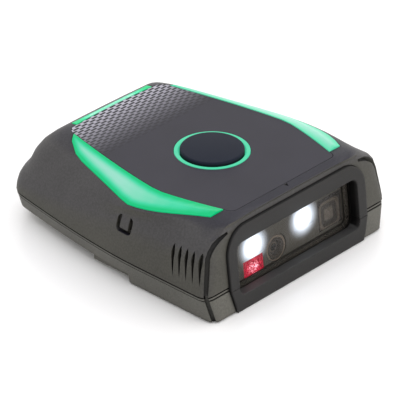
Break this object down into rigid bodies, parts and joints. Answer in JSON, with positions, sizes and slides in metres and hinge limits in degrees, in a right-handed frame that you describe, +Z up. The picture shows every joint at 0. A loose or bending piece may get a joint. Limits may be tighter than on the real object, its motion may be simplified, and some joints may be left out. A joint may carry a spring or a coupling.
{
  "type": "wearable barcode scanner",
  "caption": "palm-sized wearable scanner with a recessed front window, a round top trigger in a lit ring, lit strips and a rail underneath",
  "frame": {"origin": "middle of the footprint, on the underside", "axes": "+Z up, the scan window faces -Y, the rear end is at +Y, +X to the right for someone looking along +Y"},
  "size_m": [0.05, 0.0563, 0.0185],
  "materials": {
    "shell": "fine spark-eroded moulded texture, very dark warm grey",
    "panel": "printed film, satin dark grey with a fading field of short staggered dashes",
    "button": "soft-touch coated, dark blue-grey",
    "bezel": "smooth satin dark grey",
    "light_guide": "milky translucent green light guide, lit from inside",
    "window": "dark tinted polished glass",
    "seal": "black silicone",
    "engine_body": "black painted die casting",
    "engine_face": "black moulded face plate",
    "lens": "black lens barrel with a coated front element",
    "white_led": "clear lens over a lit white diode",
    "red_led": "clear lens over a lit red diode",
    "sensor": "smoked filter in a raised frame",
    "flex": "amber polyimide film over copper",
    "connector": "cream nylon",
    "board": "green solder mask",
    "cell": "silver laminate pouch",
    "switch_metal": "stamped steel",
    "black_part": "black moulded",
    "gold": "gold plated",
    "screw_steel": "zinc plated"
  },
  "bodies": {
    "housing": {"upper_shell": "shell", "lower_shell": "shell", "seam_gasket": "seal", "top_panel": "panel", "light_strip_left": "light_guide", "light_strip_right": "light_guide", "light_strip_rear": "light_guide", "button_ring": "light_guide", "trigger_switch": "switch_metal", "bezel_upper": "bezel", "bezel_lower": "bezel", "scan_window": "window", "window_gasket": "seal", "engine_chassis": "engine_body", "engine_face": "engine_face", "camera_lens": "lens", "illuminators": "white_led", "aimer_lens": "red_led", "range_sensor": "sensor", "engine_flex": "flex", "flex_connector": "connector", "main_board": "board", "battery": "cell", "battery_plug": "connector", "radio_module": "switch_metal", "buzzer": "black_part", "vibration_motor": "switch_metal", "nfc_coil": "flex", "strip_leds": "white_led", "contact_block": "black_part", "contact_pins": "gold", "housing_screws": "screw_steel"},
    "trigger": {"trigger_button": "button"}
  },
  "joints": [
    {"name": "trigger_press", "type": "slide", "parent": "housing", "child": "trigger", "axis": [0, 0, -1], "range_m": [0, 0.0005], "stiffness_N_per_m": 900}
  ]
}
